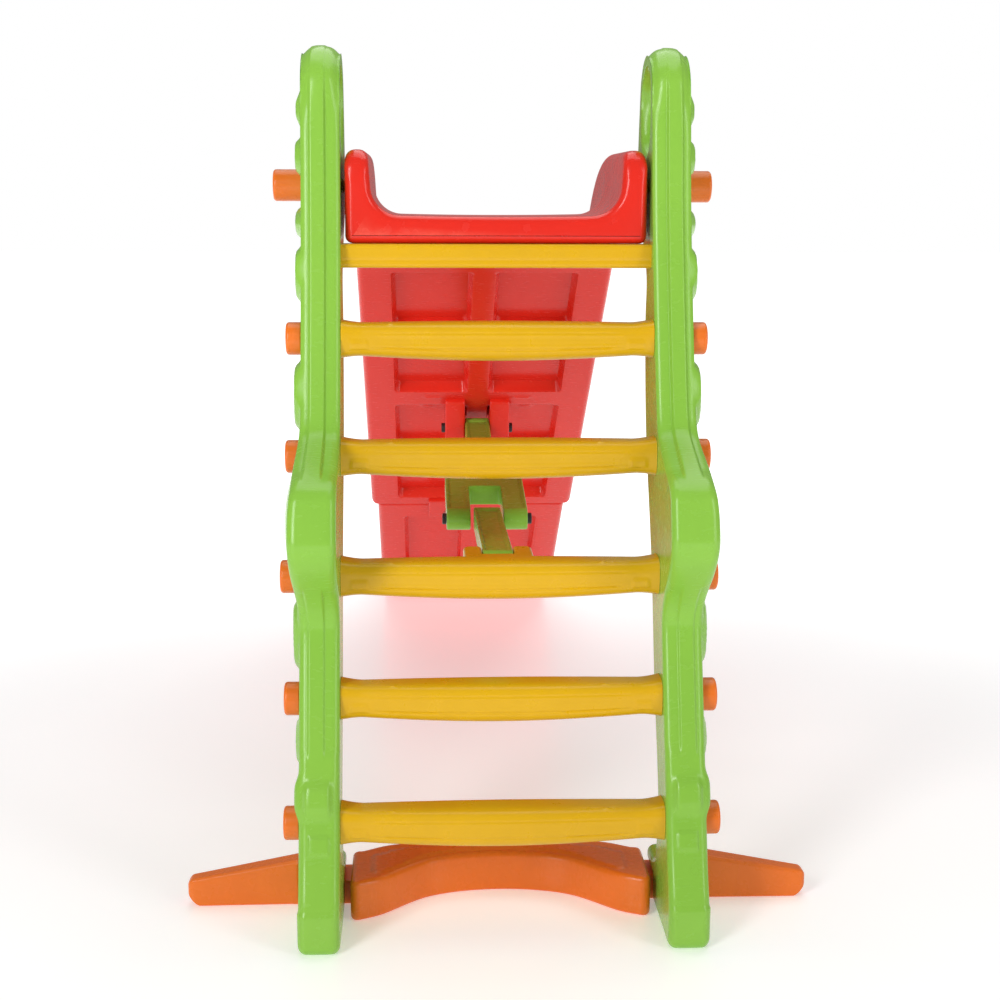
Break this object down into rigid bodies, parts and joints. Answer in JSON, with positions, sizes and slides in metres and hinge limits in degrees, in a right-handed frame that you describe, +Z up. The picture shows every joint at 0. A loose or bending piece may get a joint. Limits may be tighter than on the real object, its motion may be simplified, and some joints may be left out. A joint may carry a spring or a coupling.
{
  "type": "toddler slide",
  "caption": "Folding toddler slide: leaning ladder between two moulded side frames with grab loops, wing base, two-piece chute and a knee-jointed brace.",
  "frame": {"origin": "on the floor, at the middle of the stabiliser base's underside", "axes": "+Z up, +Y from the ladder towards the end of the chute, +X to the right of a child on the ladder"},
  "size_m": [0.866, 2.1358, 1.1798],
  "materials": {
    "green_plastic": "glossy blow-moulded polyethylene, lime green",
    "yellow_plastic": "glossy blow-moulded polyethylene, warm yellow",
    "red_plastic": "glossy blow-moulded polyethylene, red",
    "orange_plastic": "glossy moulded polyethylene, orange",
    "black_bolt": "black coated bolt, satin",
    "steel_screw": "zinc-plated screw"
  },
  "bodies": {
    "ladder": {"left_side_frame": "green_plastic", "left_pivot_cap": "orange_plastic", "left_pivot_pin": "orange_plastic", "left_base_screw": "steel_screw", "right_side_frame": "green_plastic", "right_pivot_cap": "orange_plastic", "right_pivot_pin": "orange_plastic", "right_base_screw": "steel_screw", "step_1": "yellow_plastic", "step_1_left_cap": "orange_plastic", "step_1_right_cap": "orange_plastic", "step_2": "yellow_plastic", "step_2_left_cap": "orange_plastic", "step_2_right_cap": "orange_plastic", "step_3": "yellow_plastic", "step_3_left_cap": "orange_plastic", "step_3_right_cap": "orange_plastic", "step_4": "yellow_plastic", "step_4_left_cap": "orange_plastic", "step_4_right_cap": "orange_plastic", "step_5": "yellow_plastic", "step_5_left_cap": "orange_plastic", "step_5_right_cap": "orange_plastic", "platform_bar": "yellow_plastic", "front_pivot_pin": "black_bolt", "stabiliser_base": "orange_plastic"},
    "chute": {"upper_slide": "red_plastic", "lower_slide": "red_plastic", "left_slide_screw": "steel_screw", "right_slide_screw": "steel_screw", "lug_bolt": "black_bolt", "lug_nut": "black_bolt"},
    "rear_arm_body": {"rear_arm": "green_plastic", "left_knee_bolt": "black_bolt", "right_knee_bolt": "black_bolt"},
    "front_strut_body": {"front_strut": "green_plastic"}
  },
  "joints": [
    {"name": "chute_fold", "type": "hinge", "parent": "chute", "child": "ladder", "pos_m": [0, 0.1947, 0.9878], "axis": [1, 0, 0], "range_deg": [0, 36]},
    {"name": "rear_arm_fold", "type": "hinge", "parent": "chute", "child": "rear_arm_body", "pos_m": [0, 0.86859, 0.54116], "axis": [1, 0, 0], "range_deg": [0, 42.4]},
    {"name": "front_strut_fold", "type": "hinge", "parent": "ladder", "child": "front_strut_body", "pos_m": [0, 0.0155, 0.471], "axis": [-1, 0, 0], "range_deg": [0, 89.2]}
  ],
  "couplings": [
    {"joint": "rear_arm_fold", "follows": "chute_fold", "ratio": 1.1752},
    {"joint": "front_strut_fold", "follows": "chute_fold", "ratio": 2.4737}
  ]
}
